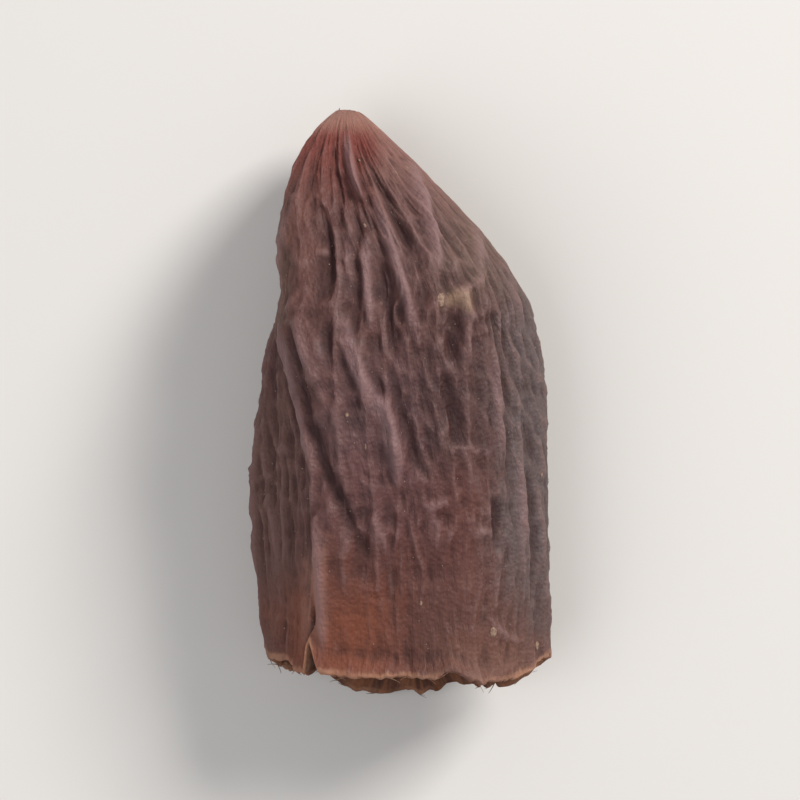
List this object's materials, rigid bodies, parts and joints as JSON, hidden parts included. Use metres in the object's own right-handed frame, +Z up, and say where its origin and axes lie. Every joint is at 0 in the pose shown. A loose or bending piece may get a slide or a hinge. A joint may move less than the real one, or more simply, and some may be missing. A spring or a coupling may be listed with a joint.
{
  "type": "dried fig",
  "caption": "Dried sour fig lying on its side: a flattened, keeled, wrinkled fruit with a pointed stalk end and a wide open rim round a shallow flower cup.",
  "frame": {"origin": "centre of the fruit's box, on the surface it lies on", "axes": "+Y towards the stalk end, -Y out of the open rim, +Z up through the flattened sides"},
  "size_m": [0.0144, 0.0284, 0.0095],
  "materials": {
    "fig_skin": "dull leathery skin with fine wrinkles, purple-brown, redder at the stalk end and orange-brown at the rim"
  },
  "bodies": {
    "root": {"dried_fig": "fig_skin"}
  },
  "joints": []
}
